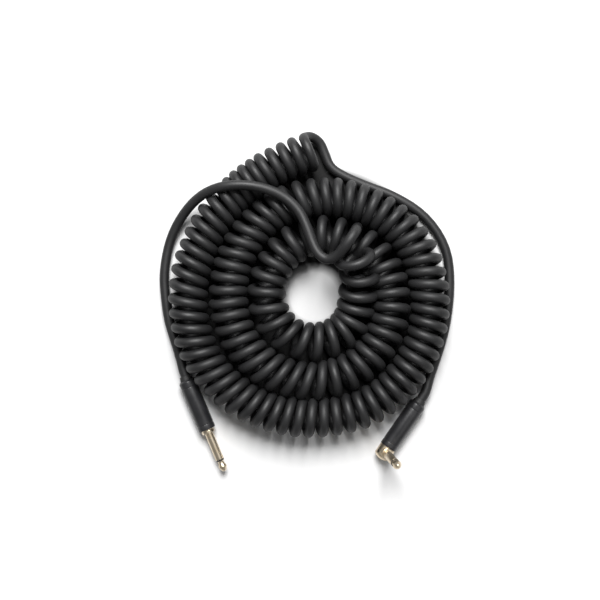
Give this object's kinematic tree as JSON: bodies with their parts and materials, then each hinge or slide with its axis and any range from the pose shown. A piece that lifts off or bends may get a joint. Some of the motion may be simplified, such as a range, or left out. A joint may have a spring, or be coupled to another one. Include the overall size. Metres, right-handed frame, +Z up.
{
  "type": "instrument cable",
  "caption": "Coiled instrument cable wound into a flat spiral, with a straight quarter-inch phone plug on one tail and a right-angle one on the other",
  "frame": {"origin": "on the table, under the middle of the whole bounding box", "axes": "+Z up from the table; +Y from the plugs' end towards the coil's outer end; +X towards the right-angle plug's tail"},
  "size_m": [0.2277, 0.2532, 0.0527],
  "materials": {
    "jacket": "satin black polyurethane cord jacket",
    "gold_plating": "polished gold plating on brass",
    "shell_black": "satin black coating on turned brass",
    "insulator": "black moulded insulator",
    "liner_film": "clear stiff plastic film",
    "tinned_metal": "tin-plated brass lug",
    "copper_braid": "bare copper braid, twisted",
    "core_insulation": "white polyethylene core insulation",
    "bushing_rubber": "soft black rubber"
  },
  "bodies": {
    "cable": {"curly_cord": "jacket", "straight_tail": "jacket", "angle_tail": "jacket", "straight_contact_tip": "gold_plating", "straight_sleeve": "gold_plating", "angle_contact_tip": "gold_plating", "angle_sleeve": "gold_plating", "angle_head": "gold_plating", "straight_tip_insulator": "insulator", "angle_tip_insulator": "insulator", "straight_washer": "insulator", "angle_bush": "insulator", "straight_tip_lug": "tinned_metal", "angle_tip_strap": "tinned_metal", "straight_ground_lug": "tinned_metal", "angle_ground_lug": "tinned_metal", "straight_core": "core_insulation", "angle_core": "core_insulation", "straight_shield": "copper_braid", "angle_shield": "copper_braid"},
    "straight_liner_body": {"straight_liner": "liner_film"},
    "angle_liner_body": {"angle_liner": "liner_film"},
    "straight_shell_body": {"straight_shell": "shell_black", "straight_bushing": "bushing_rubber"},
    "angle_shell_body": {"angle_shell": "shell_black", "angle_bushing": "bushing_rubber"}
  },
  "joints": [
    {"name": "straight_shell_slide", "type": "slide", "parent": "cable", "child": "straight_liner_body", "axis": [-0.3875, 0.9219, 0], "range_m": [0, 0.00375]},
    {"name": "straight_shell_turn", "type": "hinge", "parent": "straight_liner_body", "child": "straight_shell_body", "pos_m": [-0.07527, -0.09466, 0.0065], "axis": [-0.3875, 0.9219, 0], "range_deg": [0, 1800]},
    {"name": "angle_shell_slide", "type": "slide", "parent": "cable", "child": "angle_liner_body", "axis": [0.5693, 0.8221, 0], "range_m": [0, 0.00375]},
    {"name": "angle_shell_turn", "type": "hinge", "parent": "angle_liner_body", "child": "angle_shell_body", "pos_m": [0.06057, -0.10789, 0.0065], "axis": [0.5693, 0.8221, 0], "range_deg": [0, 1800]}
  ],
  "couplings": [
    {"joint": "straight_shell_slide", "follows": "straight_shell_turn", "m_per_rad": 0.00011937},
    {"joint": "angle_shell_slide", "follows": "angle_shell_turn", "m_per_rad": 0.00011937}
  ]
}
